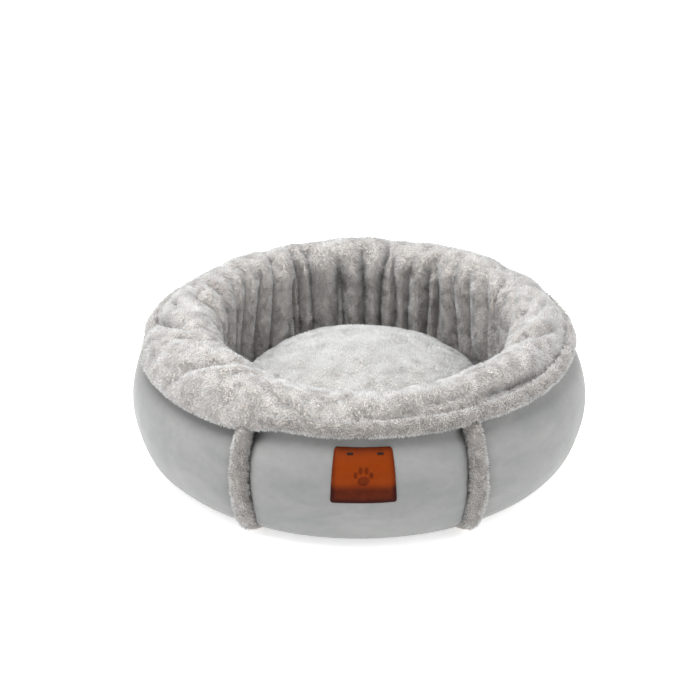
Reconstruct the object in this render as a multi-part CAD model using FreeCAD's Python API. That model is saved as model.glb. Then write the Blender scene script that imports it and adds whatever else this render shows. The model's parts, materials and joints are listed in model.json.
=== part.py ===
import FreeCAD, Part
import math
import os

os.makedirs("parts", exist_ok=True)

# Round pet bed: a fibre-filled bolster ring in a soft wall, a gathered plush lining and lip,
# and a loose cushion that lifts out. Millimetres. The origin is the middle of the underside,
# +Z is up and the front, with the label, faces -Y.

# ---------------------------------------------------------------- driving dimensions

# underside
base_cover_thickness = 1.5

# outer wall, seen in section: a belly arc over a rounded bottom edge
wall_radius = 250.0
rim_seam_height = 136.0
seam_set_in = 21.0
belly_drop = 65.0
bottom_edge_radius = 42.0
wall_thickness = 3.0

# lip and gathered lining
lip_tube_radius = 34.0
lip_drop = 6.0
lining_thickness = 4.0
ring_width = 98.0

# floor of the nest
base_pad_thickness = 8.0
base_pad_clearance = 0.5
floor_fabric_thickness = 2.0
elastic_height = 5.0

# plush piping round the rim, and the four plush strips down the wall
piping_radius = 9.0
piping_cord_radius = 4.5
strip_radius = 11.5
strip_sink = 5.0
strip_cord_radius = 4.5
strip_half_angle = 30.0

# loose cushion
cushion_side_gap = 10.0
cushion_edge_radius = 40.0
cushion_height = 100.0
cushion_cover_thickness = 2.5
cushion_floor_gap = 0.3

# label and its stitches
label_width = 67.0
label_height = 54.0
label_corner_radius = 4.0
label_thickness = 2.0
label_centre_x = 4.5
label_rise = 20.5
stitch_length = 8.0
stitch_width = 1.6
stitch_stand = 0.5
stitch_inset_side = 8.0
stitch_inset_top = 4.0

# ---------------------------------------------------------------- heights and angles that follow

pad_z = base_cover_thickness
floor_fabric_z = pad_z + base_pad_thickness
floor_z = floor_fabric_z + floor_fabric_thickness
rim_seam_radius = wall_radius - seam_set_in
belly_height = rim_seam_height - belly_drop
nest_floor_radius = wall_radius - ring_width
same_place = 1e-6
front_angle = -90.0
back_angle = 90.0
axis_z = FreeCAD.Vector(0, 0, 1)
centre = FreeCAD.Vector(0, 0, 0)


def polar(middle, radius, angle):
    """The point (r, z) at an angle in degrees on a circle in the section plane."""
    turn = math.radians(angle)
    return (middle[0] + radius * math.cos(turn), middle[1] + radius * math.sin(turn))


def vector(point):
    """A section point (r, z) as a vector in the XZ plane."""
    return FreeCAD.Vector(point[0], 0, point[1])


def line(start, end):
    """A straight edge between two section points."""
    return Part.LineSegment(vector(start), vector(end)).toShape()


def arc(middle, radius, start, end):
    """An arc edge of the section plane, between two angles in degrees."""
    points = [vector(polar(middle, radius, angle)) for angle in (start, (start + end) / 2, end)]
    return Part.Arc(*points).toShape()


def spin(edges, start=0.0, sweep=360.0):
    """Revolve a closed run of section edges about Z, from an angle through a sweep."""
    face = Part.Face(Part.Wire(Part.__sortEdges__(edges)))
    solid = face.revolve(centre, axis_z, sweep)
    solid.rotate(centre, axis_z, start)
    return solid


def save(name, shape):
    """Write one named piece, after a look at its solids."""
    if not shape.isValid() or shape.Volume <= 0:
        raise ValueError(name + " is not a good solid")
    shape.exportStep("parts/" + name + ".step")
    print(name, round(shape.Volume / 1000, 2), "cm3", len(shape.Solids), "solid(s)")


# ---------------------------------------------------------------- the wall's section

# the belly arc passes the widest point and the rim seam, its middle level with the widest point
belly_radius = (seam_set_in ** 2 + belly_drop ** 2) / (2 * seam_set_in)
belly_middle = (wall_radius - belly_radius, belly_height)
seam_angle = math.degrees(math.asin(belly_drop / belly_radius))

# the bottom edge's arc meets the belly and the underside without a corner
edge_reach = belly_radius - bottom_edge_radius
edge_drop = belly_height - bottom_edge_radius
edge_middle = (belly_middle[0] + math.sqrt(edge_reach ** 2 - edge_drop ** 2), bottom_edge_radius)
edge_angle = -math.degrees(math.asin(edge_drop / edge_reach))

# the lip is an arc of a tube through the rim seam, and the nest's wall runs from it to the floor
# without a corner
lip_set_in = math.sqrt(lip_tube_radius ** 2 - lip_drop ** 2)
lip_middle = (rim_seam_radius - lip_set_in, rim_seam_height - lip_drop)


def nest_wall(inset, foot_z):
    """The moved-in nest wall: its foot (r, z), and the angle at which it leaves the lip."""
    across = lip_middle[0] - nest_floor_radius
    up = lip_middle[1] - floor_z
    lean = math.atan2(across, up) - math.asin(lip_tube_radius / math.hypot(across, up))
    angle = 180.0 - math.degrees(lean)
    start = polar(lip_middle, lip_tube_radius - inset, angle)
    return (start[0] - (start[1] - foot_z) * math.tan(lean), foot_z), angle


def body_section(wall_inset, lip_inset, foot_z):
    """The closed section of the whole ring on a foot height, its wall and its lip moved in."""
    foot, lip_end = nest_wall(lip_inset, foot_z)
    lip_radius = lip_tube_radius - lip_inset
    wall_end = polar(belly_middle, belly_radius - wall_inset, seam_angle)
    lip_start = math.degrees(math.asin((wall_end[1] - lip_middle[1]) / lip_radius))
    lip_end_point = polar(lip_middle, lip_radius, lip_end)
    lip_start_point = polar(lip_middle, lip_radius, lip_start)
    heel = polar(edge_middle, bottom_edge_radius - wall_inset, -90.0)
    edges = [
        arc(edge_middle, bottom_edge_radius - wall_inset, -90.0, edge_angle),
        arc(belly_middle, belly_radius - wall_inset, edge_angle, seam_angle),
        arc(lip_middle, lip_radius, lip_start, lip_end),
        line(lip_end_point, foot),
        line(foot, (heel[0], foot_z)),
    ]
    if heel[1] > foot_z:
        edges.append(line((heel[0], foot_z), heel))
    if math.dist(wall_end, lip_start_point) > same_place:
        edges.append(line(wall_end, lip_start_point))
    return edges


# ---------------------------------------------------------------- rim piping and wall strips

rim_place = FreeCAD.Vector(0, 0, rim_seam_height)
rim_piping_solid = Part.makeTorus(rim_seam_radius, piping_radius, rim_place, axis_z)
rim_cord = Part.makeTorus(rim_seam_radius, piping_cord_radius, rim_place, axis_z)


def strip_tube(radius, angle):
    """A round strip that follows the wall from the rim to the underside, at an angle about Z."""
    side = FreeCAD.Vector(0, -1, 0)
    belly_start = vector(polar(belly_middle, belly_radius - strip_sink, edge_angle))
    along = vector(polar((0.0, 0.0), 1.0, edge_angle + 90.0))
    joint = Part.Face(Part.Wire(Part.makeCircle(radius, belly_start, along)))
    upper = joint.revolve(vector(belly_middle), side, seam_angle - edge_angle)
    lower = joint.revolve(vector(edge_middle), side, -(90.0 + edge_angle))
    tube = upper.fuse(lower).removeSplitter()
    above_floor = Part.makeCylinder(wall_radius + 2 * radius, rim_seam_height + 2 * radius)
    tube = tube.common(above_floor).cut(rim_piping_solid)
    tube.rotate(centre, axis_z, angle)
    return tube


strip_angles = {
    "front_left": front_angle - strip_half_angle,
    "front_right": front_angle + strip_half_angle,
    "back_right": back_angle - strip_half_angle,
    "back_left": back_angle + strip_half_angle,
}
strip_solids = {side: strip_tube(strip_radius, angle) for side, angle in strip_angles.items()}
all_strips = list(strip_solids.values())

save("rim_piping", rim_piping_solid.cut(rim_cord))
save("rim_piping_cord", rim_cord)
for side, angle in strip_angles.items():
    cord = strip_tube(strip_cord_radius, angle)
    save("wall_strip_" + side, strip_solids[side].cut(cord))
    save("wall_strip_cord_" + side, cord)

# ---------------------------------------------------------------- bolster ring

whole = spin(body_section(0.0, 0.0, 0.0))
filling = spin(body_section(wall_thickness, lining_thickness, pad_z))
base_disc = Part.makeCylinder(edge_middle[0], base_cover_thickness)
skin = whole.cut(filling).cut(base_disc)

# the wall keeps what lies outside the ring's middle and below the rim seam
tall = rim_seam_height + 2 * lip_tube_radius
wall_zone = Part.makeCylinder(wall_radius + wall_thickness, rim_seam_height)
wall_zone = wall_zone.cut(Part.makeCylinder(edge_middle[0] - wall_thickness, tall))
wall_ring = skin.common(wall_zone).cut(rim_piping_solid)

# the lining has the rest of the skin, down to the elastic that gathers its hem
lining_ring = skin.cut(wall_zone).cut(rim_piping_solid)
hem_zone = Part.makeCylinder(edge_middle[0] - wall_thickness, pad_z + elastic_height)
save("plush_lining", lining_ring.cut(hem_zone))
save("gather_elastic", lining_ring.common(hem_zone))
save("bolster_filling", filling.cut(rim_piping_solid).cut(all_strips))

panel_spans = {
    "front": (strip_angles["front_left"], strip_angles["front_right"]),
    "right": (strip_angles["front_right"], strip_angles["back_right"]),
    "back": (strip_angles["back_right"], strip_angles["back_left"]),
    "left": (strip_angles["back_left"], strip_angles["front_left"] + 360.0),
}
for side, (start, end) in panel_spans.items():
    box_edges = [
        line((1.0, 0.0), (wall_radius + 1, 0.0)),
        line((wall_radius + 1, 0.0), (wall_radius + 1, tall)),
        line((wall_radius + 1, tall), (1.0, tall)),
        line((1.0, tall), (1.0, 0.0)),
    ]
    wedge = spin(box_edges, start, end - start)
    save("wall_panel_" + side, wall_ring.common(wedge).cut(all_strips))

# ---------------------------------------------------------------- floor and underside

hem_foot = nest_wall(0.0, pad_z)[0]
pad_radius = hem_foot[0] - base_pad_clearance
pad_place = FreeCAD.Vector(0, 0, pad_z)
floor_place = FreeCAD.Vector(0, 0, floor_fabric_z)
save("base_pad", Part.makeCylinder(pad_radius, base_pad_thickness, pad_place))
save("floor_fabric", Part.makeCylinder(pad_radius, floor_fabric_thickness, floor_place))
save("base_cover", base_disc.cut(all_strips))

# ---------------------------------------------------------------- loose cushion

cushion_radius = nest_floor_radius - cushion_side_gap
cushion_base_z = floor_z + cushion_floor_gap
cushion_seam_z = cushion_base_z + cushion_edge_radius
shoulder_r = cushion_radius - cushion_edge_radius
shoulder = (shoulder_r, cushion_seam_z)
crown_z = cushion_base_z + cushion_height
crown_rise = crown_z - cushion_seam_z
crown_excess = shoulder_r ** 2 + crown_rise ** 2 - cushion_edge_radius ** 2
crown_radius = crown_excess / (2 * (crown_rise - cushion_edge_radius))
crown_middle = (0.0, crown_z - crown_radius)
crown_angle = math.degrees(math.atan2(cushion_seam_z - crown_middle[1], shoulder_r))


def cushion_upper(inset):
    """The cushion's upper outline, moved in, from its seam to the middle of the crown."""
    return [
        arc(shoulder, cushion_edge_radius - inset, 0.0, crown_angle),
        arc(crown_middle, crown_radius - inset, crown_angle, 90.0),
    ]


def cushion_lower(inset):
    """The cushion's lower outline, moved in, from its seam to the middle of the underside."""
    foot = polar(shoulder, cushion_edge_radius - inset, -90.0)
    return [
        arc(shoulder, cushion_edge_radius - inset, 0.0, -90.0),
        line(foot, (0.0, foot[1])),
    ]


cover = cushion_cover_thickness
seam_outer = (cushion_radius, cushion_seam_z)
seam_inner = (cushion_radius - cover, cushion_seam_z)
crown_outer = (0.0, crown_z)
crown_inner = (0.0, crown_z - cover)
sole_outer = (0.0, cushion_base_z)
sole_inner = (0.0, cushion_base_z + cover)

top_ends = [line(seam_outer, seam_inner), line(crown_outer, crown_inner)]
bottom_ends = [line(seam_outer, seam_inner), line(sole_outer, sole_inner)]
save("cushion_top_cover", spin(cushion_upper(0.0) + cushion_upper(cover) + top_ends))
save("cushion_bottom_cover", spin(cushion_lower(0.0) + cushion_lower(cover) + bottom_ends))
save("cushion_filling", spin(cushion_upper(cover) + cushion_lower(cover) + [line(crown_inner, sole_inner)]))

# ---------------------------------------------------------------- label


def wall_shell(thickness):
    """A layer of a thickness lying on the outside of the front panel."""
    edges = [
        arc(belly_middle, belly_radius, edge_angle, seam_angle),
        arc(belly_middle, belly_radius + thickness, edge_angle, seam_angle),
    ]
    for angle in (edge_angle, seam_angle):
        inner_end = polar(belly_middle, belly_radius, angle)
        edges.append(line(inner_end, polar(belly_middle, belly_radius + thickness, angle)))
    return spin(edges, front_angle - strip_half_angle, 2 * strip_half_angle)


label_centre_z = belly_height + label_rise
left_x = label_centre_x - label_width / 2
low_z = label_centre_z - label_height / 2
front_y = -wall_radius - 2 * label_thickness
cutter = Part.makeBox(label_width, wall_radius / 2, label_height, FreeCAD.Vector(left_x, front_y, low_z))
upright = [edge for edge in cutter.Edges if abs(edge.Vertexes[0].Y - edge.Vertexes[1].Y) > 1.0]
cutter = cutter.makeFillet(label_corner_radius, upright)
patch = wall_shell(label_thickness).common(cutter)

# each upper corner is held by one bar of thread, let into the label and standing a little proud
stitch_shell = wall_shell(label_thickness + stitch_stand)
bar_low = label_centre_z + label_height / 2 - stitch_inset_top - stitch_width
bar_reach = label_width / 2 - stitch_inset_side - stitch_length / 2
stitches = []
for way in (-1, 1):
    bar_left = label_centre_x + way * bar_reach - stitch_length / 2
    bar_place = FreeCAD.Vector(bar_left, front_y, bar_low)
    bar = Part.makeBox(stitch_length, wall_radius / 2, stitch_width, bar_place)
    stitches.append(stitch_shell.common(bar))
save("label_patch", patch.cut(stitches))
save("label_stitches", Part.makeCompound(stitches))
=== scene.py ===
"""The looks of a round plush pet bed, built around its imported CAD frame. Metres, +Z up, front to -Y."""
import json
import logging
import math
import random
from dataclasses import dataclass, field
from enum import Enum
from typing import Callable, Iterable, Optional

import bmesh
import bpy
import numpy
from mathutils import Matrix, Vector, noise
from mathutils.bvhtree import BVHTree

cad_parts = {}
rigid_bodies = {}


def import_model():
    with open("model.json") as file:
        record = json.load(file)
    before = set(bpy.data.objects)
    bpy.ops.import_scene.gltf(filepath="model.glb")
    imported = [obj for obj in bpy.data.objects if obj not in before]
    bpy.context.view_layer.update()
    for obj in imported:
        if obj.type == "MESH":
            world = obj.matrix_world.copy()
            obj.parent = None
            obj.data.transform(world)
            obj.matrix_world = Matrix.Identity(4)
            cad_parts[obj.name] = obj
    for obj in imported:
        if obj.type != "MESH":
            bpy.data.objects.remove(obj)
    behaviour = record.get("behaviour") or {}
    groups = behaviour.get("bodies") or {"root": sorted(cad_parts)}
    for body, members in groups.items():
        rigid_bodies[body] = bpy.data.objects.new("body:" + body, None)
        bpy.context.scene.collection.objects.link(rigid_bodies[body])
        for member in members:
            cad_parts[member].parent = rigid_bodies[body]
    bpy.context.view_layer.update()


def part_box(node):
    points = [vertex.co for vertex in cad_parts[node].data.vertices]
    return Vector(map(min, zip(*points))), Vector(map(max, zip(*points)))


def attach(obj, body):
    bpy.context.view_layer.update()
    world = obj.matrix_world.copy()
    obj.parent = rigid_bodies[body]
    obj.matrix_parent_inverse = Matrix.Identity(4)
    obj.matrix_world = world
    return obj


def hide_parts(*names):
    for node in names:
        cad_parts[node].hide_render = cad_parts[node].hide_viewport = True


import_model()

LOG = logging.getLogger("pet_bed")
MM = 0.001
FRONT = math.radians(-90.0)


class Body(Enum):
    """The bodies that pieces ride on."""

    NEST = "nest"
    CUSHION = "cushion"


class Cloth(Enum):
    """The material slots that pieces are made in."""

    PLUSH_GREY = "plush_grey"
    PLUSH_LIGHT = "plush_light"
    SUEDE = "suede_grey"
    LEATHER = "leather_brown"
    THREAD = "thread_dark"
    LINING = "lining_cloth"
    BASE = "base_cloth"


class Side(Enum):
    """The four sides of the bed, by the angle about Z that each one faces, in degrees."""

    FRONT = -90
    RIGHT = 0
    BACK = 90
    LEFT = 180

    @property
    def label(self) -> str:
        """The side's name in a piece's name."""
        return self.name.lower()

    def faces(self, place: Vector) -> bool:
        """Whether a place lies in this side's quarter of the bed."""
        turn = math.atan2(place.y, place.x) - math.radians(self.value)
        return abs((turn + math.pi) % (2 * math.pi) - math.pi) <= math.pi / 4


class Corner(Enum):
    """The four places where a strip is sewn down the wall, by the signs of x and y there."""

    FRONT_LEFT = (-1, -1)
    FRONT_RIGHT = (1, -1)
    BACK_RIGHT = (1, 1)
    BACK_LEFT = (-1, 1)

    @property
    def label(self) -> str:
        """The corner's name in a piece's name."""
        return self.name.lower()


# ------------------------------------------------------------------ small helpers


def linear(code: str) -> tuple[float, float, float, float]:
    """Turn an sRGB hex value into a linear colour.

    Args:
        code: six hex digits, with or without a leading hash.
    Returns:
        Red, green, blue and an alpha of one.
    """
    digits = code.lstrip("#")
    parts = [int(digits[at:at + 2], 16) / 255 for at in (0, 2, 4)]
    values = [part / 12.92 if part <= 0.04045 else ((part + 0.055) / 1.055) ** 2.4 for part in parts]
    return (*values, 1.0)


def add(tree: bpy.types.NodeTree, kind: str, inputs: Optional[dict] = None, **settings) -> bpy.types.Node:
    """Add one node with its settings and links.

    Args:
        tree: the node tree that gets it.
        kind: the node's type name.
        inputs: socket name or number to a value, or to an output socket to link from.
        settings: the node's own properties.
    Returns:
        The new node.
    """
    made = tree.nodes.new(kind)
    for name, value in settings.items():
        setattr(made, name, value)
    for socket, value in (inputs or {}).items():
        if isinstance(value, bpy.types.NodeSocket):
            tree.links.new(value, made.inputs[socket])
        else:
            made.inputs[socket].default_value = value
    return made


def ease(low: float, high: float, value: float) -> float:
    """A smooth step from 0 at low to 1 at high."""
    share = min(1.0, max(0.0, (value - low) / (high - low)))
    return share * share * (3 - 2 * share)


def hump(distance: float, width: float) -> float:
    """A bell curve: 1 at no distance, about a third at one width."""
    return math.exp(-(distance / width) ** 2)


def turn_between(angle: float, other: float) -> float:
    """The signed angle from other to angle, within half a turn."""
    return (angle - other + math.pi) % (2 * math.pi) - math.pi


def slouched(turn: float) -> float:
    """How far the lip slouches over the rim seam at an angle: fully at the front left, nowhere else."""
    return ease(math.radians(44), math.radians(20), abs(turn_between(turn, math.radians(-146))))


def ripple(x: float, y: float, z: float, seed: float = 0.0) -> float:
    """Smooth noise from about -1 to 1 at a point whose unit is one feature."""
    return noise.noise(Vector((x + seed * 17.3, y - seed * 9.1, z + seed * 5.7)))


def mesh_object(name: str, bm: bmesh.types.BMesh, finish: Optional["Finish"] = None) -> bpy.types.Object:
    """Make a scene object of a bmesh, with smooth shading.

    Args:
        name: the object's name.
        bm: its shape, which is freed.
        finish: what it is made of.
    Returns:
        The new object, standing at the origin.
    """
    mesh = bpy.data.meshes.new(name)
    for face in bm.faces:
        face.smooth = True
    bm.to_mesh(mesh)
    bm.free()
    made = bpy.data.objects.new(name, mesh)
    bpy.context.scene.collection.objects.link(made)
    if finish is not None:
        mesh.materials.append(finish.material())
    return made


def declare(piece: bpy.types.Object, body: Body, cloth: Cloth, *nodes: str,
            fill: Optional[float] = None) -> None:
    """Hang a piece on the body it rides on and hide the plain nodes it stands in for.

    Args:
        piece: the finished piece.
        body: what it rides on.
        cloth: the slot it is made in; not used.
        nodes: the plain nodes it stands in for.
        fill: how full of stuffing it is, for a padded piece; not used.
    """
    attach(piece, body.value)
    if nodes:
        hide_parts(*nodes)
    LOG.info("%s: %d faces, rides on the %s", piece.name, len(piece.data.polygons), body.value)


def thicken(piece: bpy.types.Object, thickness: float) -> None:
    """Give a skin its cloth's thickness, inwards.

    Args:
        piece: the open skin, whose faces look outwards.
        thickness: how thick the cloth is.
    """
    cloth = piece.modifiers.new("thickness", "SOLIDIFY")
    cloth.thickness = thickness
    cloth.offset = -1.0


def smooth(piece: bpy.types.Object) -> None:
    """Round a piece's faces once."""
    rounding = piece.modifiers.new("smooth", "SUBSURF")
    rounding.levels = rounding.render_levels = 1


def spin_line(bm: bmesh.types.BMesh, points: Iterable[tuple[float, float]], start: float, sweep: float,
              steps: int) -> None:
    """Turn an open line of section points (r, z) about Z into a surface.

    Args:
        bm: the mesh that gets the surface.
        points: the line, in the section plane.
        start: the angle at which it starts.
        sweep: how far it turns; a full turn is closed.
        steps: faces round the sweep.
    """
    along = Vector((math.cos(start), math.sin(start), 0))
    verts = [bm.verts.new(along * r + Vector((0, 0, z))) for r, z in points]
    edges = [bm.edges.new(pair) for pair in zip(verts, verts[1:])]
    whole = abs(sweep - 2 * math.pi) < 1e-6
    bmesh.ops.spin(bm, geom=verts + edges, cent=(0, 0, 0), axis=(0, 0, 1), angle=sweep, steps=steps,
                   use_merge=whole, use_duplicate=False)
    bmesh.ops.remove_doubles(bm, verts=bm.verts, dist=1e-6)
    bmesh.ops.recalc_face_normals(bm, faces=bm.faces)


def face_out(bm: bmesh.types.BMesh, outward: Callable[[Vector], Vector]) -> None:
    """Flip an open surface if its faces look the wrong way.

    Args:
        bm: the surface.
        outward: says for a face's middle which way is out.
    """
    score = sum(face.normal.dot(outward(face.calc_center_median())) for face in bm.faces)
    if score < 0:
        bmesh.ops.reverse_faces(bm, faces=bm.faces)


def arc_points(middle: tuple[float, float], radius: float, start: float, end: float,
               pitch: float) -> list[tuple[float, float]]:
    """Evenly spaced points (r, z) on an arc, both ends included.

    Args:
        middle: the arc's middle (r, z).
        radius: its radius.
        start: the angle in radians at which it starts.
        end: the angle at which it ends.
        pitch: about how far apart the points lie.
    Returns:
        The points.
    """
    count = max(2, round(abs(end - start) * radius / pitch))
    turns = [start + (end - start) * step / count for step in range(count + 1)]
    return [(middle[0] + radius * math.cos(turn), middle[1] + radius * math.sin(turn)) for turn in turns]


def line_points(start: tuple[float, float], end: tuple[float, float],
                pitch: float) -> list[tuple[float, float]]:
    """Evenly spaced points (r, z) on a straight line, without its start.

    Args:
        start: the line's start (r, z).
        end: its end.
        pitch: about how far apart the points lie.
    Returns:
        The points.
    """
    count = max(1, round(math.dist(start, end) / pitch))
    return [
        (start[0] + (end[0] - start[0]) * step / count, start[1] + (end[1] - start[1]) * step / count)
        for step in range(1, count + 1)
    ]


# ------------------------------------------------------------------ sizes read from the frame


@dataclass(frozen=True)
class BedSizes:
    """The bed's main sizes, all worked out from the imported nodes' boxes."""

    wall_radius: float
    seam_radius: float
    seam_height: float
    piping_radius: float
    lip_radius: float
    lip_height: float
    lip_tube: float
    nest_radius: float
    floor_height: float
    base_radius: float
    cushion_radius: float
    cushion_base: float
    cushion_crown: float
    cushion_seam: float
    strip_angles: dict

    @classmethod
    def from_frame(cls, lip_drop: float = 6.0 * MM) -> "BedSizes":
        """Read the sizes.

        Args:
            lip_drop: how far the middle of the lip's roll lies below the rim seam.
        Returns:
            The sizes in metres, and the strips' angles about Z in radians.
        """
        piping_low, piping_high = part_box("rim_piping")
        piping_radius = (piping_high[2] - piping_low[2]) / 2
        seam_radius = piping_high[0] - piping_radius
        seam_height = (piping_high[2] + piping_low[2]) / 2
        lip_height = seam_height - lip_drop
        lip_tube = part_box("plush_lining")[1][2] - lip_height
        top_low, top_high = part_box("cushion_top_cover")
        angles = {}
        for corner in Corner:
            low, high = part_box("wall_strip_" + corner.label)
            middle = [(low[axis] + high[axis]) / 2 for axis in (0, 1)]
            angles[corner] = math.atan2(middle[1], middle[0])
        return cls(
            wall_radius=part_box("wall_panel_right")[1][0],
            seam_radius=seam_radius,
            seam_height=seam_height,
            piping_radius=piping_radius,
            lip_radius=seam_radius - math.sqrt(lip_tube ** 2 - lip_drop ** 2),
            lip_height=lip_height,
            lip_tube=lip_tube,
            nest_radius=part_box("floor_fabric")[1][0],
            floor_height=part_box("floor_fabric")[1][2],
            base_radius=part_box("base_cover")[1][0],
            cushion_radius=top_high[0],
            cushion_base=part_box("cushion_bottom_cover")[0][2],
            cushion_crown=top_high[2],
            cushion_seam=top_low[2],
            strip_angles=angles,
        )

    def belly(self, belly_drop: float = 65.0 * MM) -> tuple[tuple[float, float], float, float]:
        """The wall's belly arc: its middle (r, z), its radius and its angle at the rim seam."""
        set_in = self.wall_radius - self.seam_radius
        radius = (set_in ** 2 + belly_drop ** 2) / (2 * set_in)
        middle = (self.wall_radius - radius, self.seam_height - belly_drop)
        return middle, radius, math.asin(belly_drop / radius)

    def bottom_edge(self) -> tuple[tuple[float, float], float, float]:
        """The wall's rounded bottom edge: its middle (r, z), its radius and its angle at the belly."""
        middle, radius, _ = self.belly()
        across = self.base_radius - middle[0]
        edge = (radius ** 2 - across ** 2 - middle[1] ** 2) / (2 * (radius - middle[1]))
        return (self.base_radius, edge), edge, -math.asin((middle[1] - edge) / (radius - edge))


# ------------------------------------------------------------------ finishes


@dataclass(frozen=True)
class Finish:
    """A material made once, by its own recipe."""

    name: str

    def material(self) -> bpy.types.Material:
        """The finish's material, made the first time it is asked for."""
        held = bpy.data.materials.get(self.name)
        if held is not None:
            return held
        made = bpy.data.materials.new(self.name)
        made.use_nodes = True
        tree = made.node_tree
        tree.nodes.clear()
        surface = self.surface(tree)
        add(tree, "ShaderNodeOutputMaterial", {"Surface": surface})
        return made

    def surface(self, tree: bpy.types.NodeTree) -> bpy.types.NodeSocket:
        """Build the shader and return its output.

        Args:
            tree: the material's node tree.
        Returns:
            The shader's output.
        """
        raise NotImplementedError


@dataclass(frozen=True)
class PlushPile(Finish):
    """Polyester plush, knitted and sheared and frosted at the tips; its colour darkens to grey-brown towards
    the roots as painted shade deep in the pile.

    The eye gets a soft even bloom where the pile stands up, and dark brown lines where folds open it, partly
    real shadow and partly the painted shade of the darker roots.
    """

    # the root colour is painted shade: the depths of the pile drawn darker and browner
    root: str = "#AFA69F"
    middle: str = "#D5D5D4"
    tip: str = "#E5E7E8"
    deep: str = "#CFCDCC"
    sheen: float = 0.15

    def surface(self, tree: bpy.types.NodeTree) -> bpy.types.NodeSocket:
        """Colour by height in the pile, darker towards the root as painted shade, and by each tuft's own shade
        value.

        Args:
            tree: the material's node tree.
        Returns:
            The shader's output.
        """
        height = add(tree, "ShaderNodeAttribute", attribute_name="tip").outputs["Fac"]
        shade = add(tree, "ShaderNodeAttribute", attribute_name="shade").outputs["Fac"]
        # the ramp darkens towards the root: painted shade deep in the pile
        ramp = add(tree, "ShaderNodeValToRGB", {"Fac": height})
        ramp.color_ramp.elements[0].color = linear(self.root)
        ramp.color_ramp.elements[1].color = linear(self.tip)
        middle = ramp.color_ramp.elements.new(0.45)
        middle.color = linear(self.middle)
        tint = add(tree, "ShaderNodeMix", {0: shade, 6: linear(self.deep), 7: linear("#FFFFFF")},
                   data_type="RGBA")
        blend = add(tree, "ShaderNodeMix", {0: 1.0, 6: ramp.outputs["Color"], 7: tint.outputs[2]},
                    data_type="RGBA", blend_type="MULTIPLY")
        return add(tree, "ShaderNodeBsdfPrincipled", {
            "Base Color": blend.outputs[2],
            "Roughness": 0.92,
            "Specular IOR Level": 0.15,
            "Sheen Weight": self.sheen,
            "Sheen Roughness": 0.45,
        }).outputs[0]


@dataclass(frozen=True)
class PlushBacking(Finish):
    """The knitted ground that the pile stands in. It shows only between tufts, dull and mottled, and drawn
    darker as painted shade between the tufts.
    """

    # low and high are darker than the pile: painted shade between the tufts
    low: str = "#BDB5AF"
    high: str = "#D6D1CD"
    knit_mm: float = 2.5

    def surface(self, tree: bpy.types.NodeTree) -> bpy.types.NodeSocket:
        """Mottled colour with a fine knitted bump.

        Args:
            tree: the material's node tree.
        Returns:
            The shader's output.
        """
        place = add(tree, "ShaderNodeTexCoord").outputs["Object"]
        cloud = add(tree, "ShaderNodeTexNoise", {"Vector": place, "Scale": 1 / (14 * MM), "Detail": 4.0})
        knit = add(tree, "ShaderNodeTexNoise",
                   {"Vector": place, "Scale": 1 / (self.knit_mm * MM), "Detail": 2.0})
        colour = add(tree, "ShaderNodeMix",
                     {0: cloud.outputs["Fac"], 6: linear(self.low), 7: linear(self.high)}, data_type="RGBA")
        bump = add(tree, "ShaderNodeBump", {"Height": knit.outputs["Fac"], "Strength": 0.6, "Distance": 1 * MM})
        return add(tree, "ShaderNodeBsdfPrincipled", {
            "Base Color": colour.outputs[2],
            "Roughness": 0.95,
            "Specular IOR Level": 0.1,
            "Sheen Weight": 0.2,
            "Normal": bump.outputs[0],
        }).outputs[0]


@dataclass(frozen=True)
class BrushedSuede(Finish):
    """Brushed polyester suede. Its short nap gives the eye a matt cool grey in soft, broad strokes."""

    base: str = "#878887"
    brushed: str = "#8C8D8C"
    against: str = "#828383"
    nap_mm: float = 2.2

    def surface(self, tree: bpy.types.NodeTree) -> bpy.types.NodeSocket:
        """Broad brushed strokes, a fine nap bump and a soft sheen.

        Args:
            tree: the material's node tree.
        Returns:
            The shader's output.
        """
        place = add(tree, "ShaderNodeTexCoord").outputs["Object"]
        flat = add(tree, "ShaderNodeMapping", {"Vector": place, "Scale": (1.0, 1.0, 2.2)}).outputs[0]
        stroke = add(tree, "ShaderNodeTexNoise",
                     {"Vector": flat, "Scale": 1 / (70 * MM), "Detail": 3.0, "Roughness": 0.55,
                      "Distortion": 0.6})
        fleck = add(tree, "ShaderNodeTexNoise", {"Vector": place, "Scale": 1 / (7 * MM), "Detail": 5.0})
        nap = add(tree, "ShaderNodeTexNoise", {"Vector": place, "Scale": 1 / (self.nap_mm * MM), "Detail": 3.0})
        ramp = add(tree, "ShaderNodeValToRGB", {"Fac": stroke.outputs["Fac"]})
        ramp.color_ramp.elements[0].position = 0.36
        ramp.color_ramp.elements[0].color = linear(self.against)
        ramp.color_ramp.elements[1].position = 0.66
        ramp.color_ramp.elements[1].color = linear(self.brushed)
        middle = ramp.color_ramp.elements.new(0.5)
        middle.color = linear(self.base)
        mottle = add(tree, "ShaderNodeMapRange",
                     {"Value": fleck.outputs["Fac"], "From Min": 0.3, "From Max": 0.7, "To Min": 0.965,
                      "To Max": 1.025})
        colour = add(tree, "ShaderNodeMix", {0: 1.0, 6: ramp.outputs["Color"], 7: mottle.outputs[0]},
                     data_type="RGBA", blend_type="MULTIPLY")
        rough = add(tree, "ShaderNodeMapRange", {"Value": nap.outputs["Fac"], "To Min": 0.78, "To Max": 0.95})
        bump = add(tree, "ShaderNodeBump",
                   {"Height": nap.outputs["Fac"], "Strength": 0.35, "Distance": 0.8 * MM})
        return add(tree, "ShaderNodeBsdfPrincipled", {
            "Base Color": colour.outputs[2],
            "Roughness": rough.outputs[0],
            "Specular IOR Level": 0.2,
            "Sheen Weight": 0.35,
            "Sheen Roughness": 0.4,
            "Normal": bump.outputs[0],
        }).outputs[0]


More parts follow.
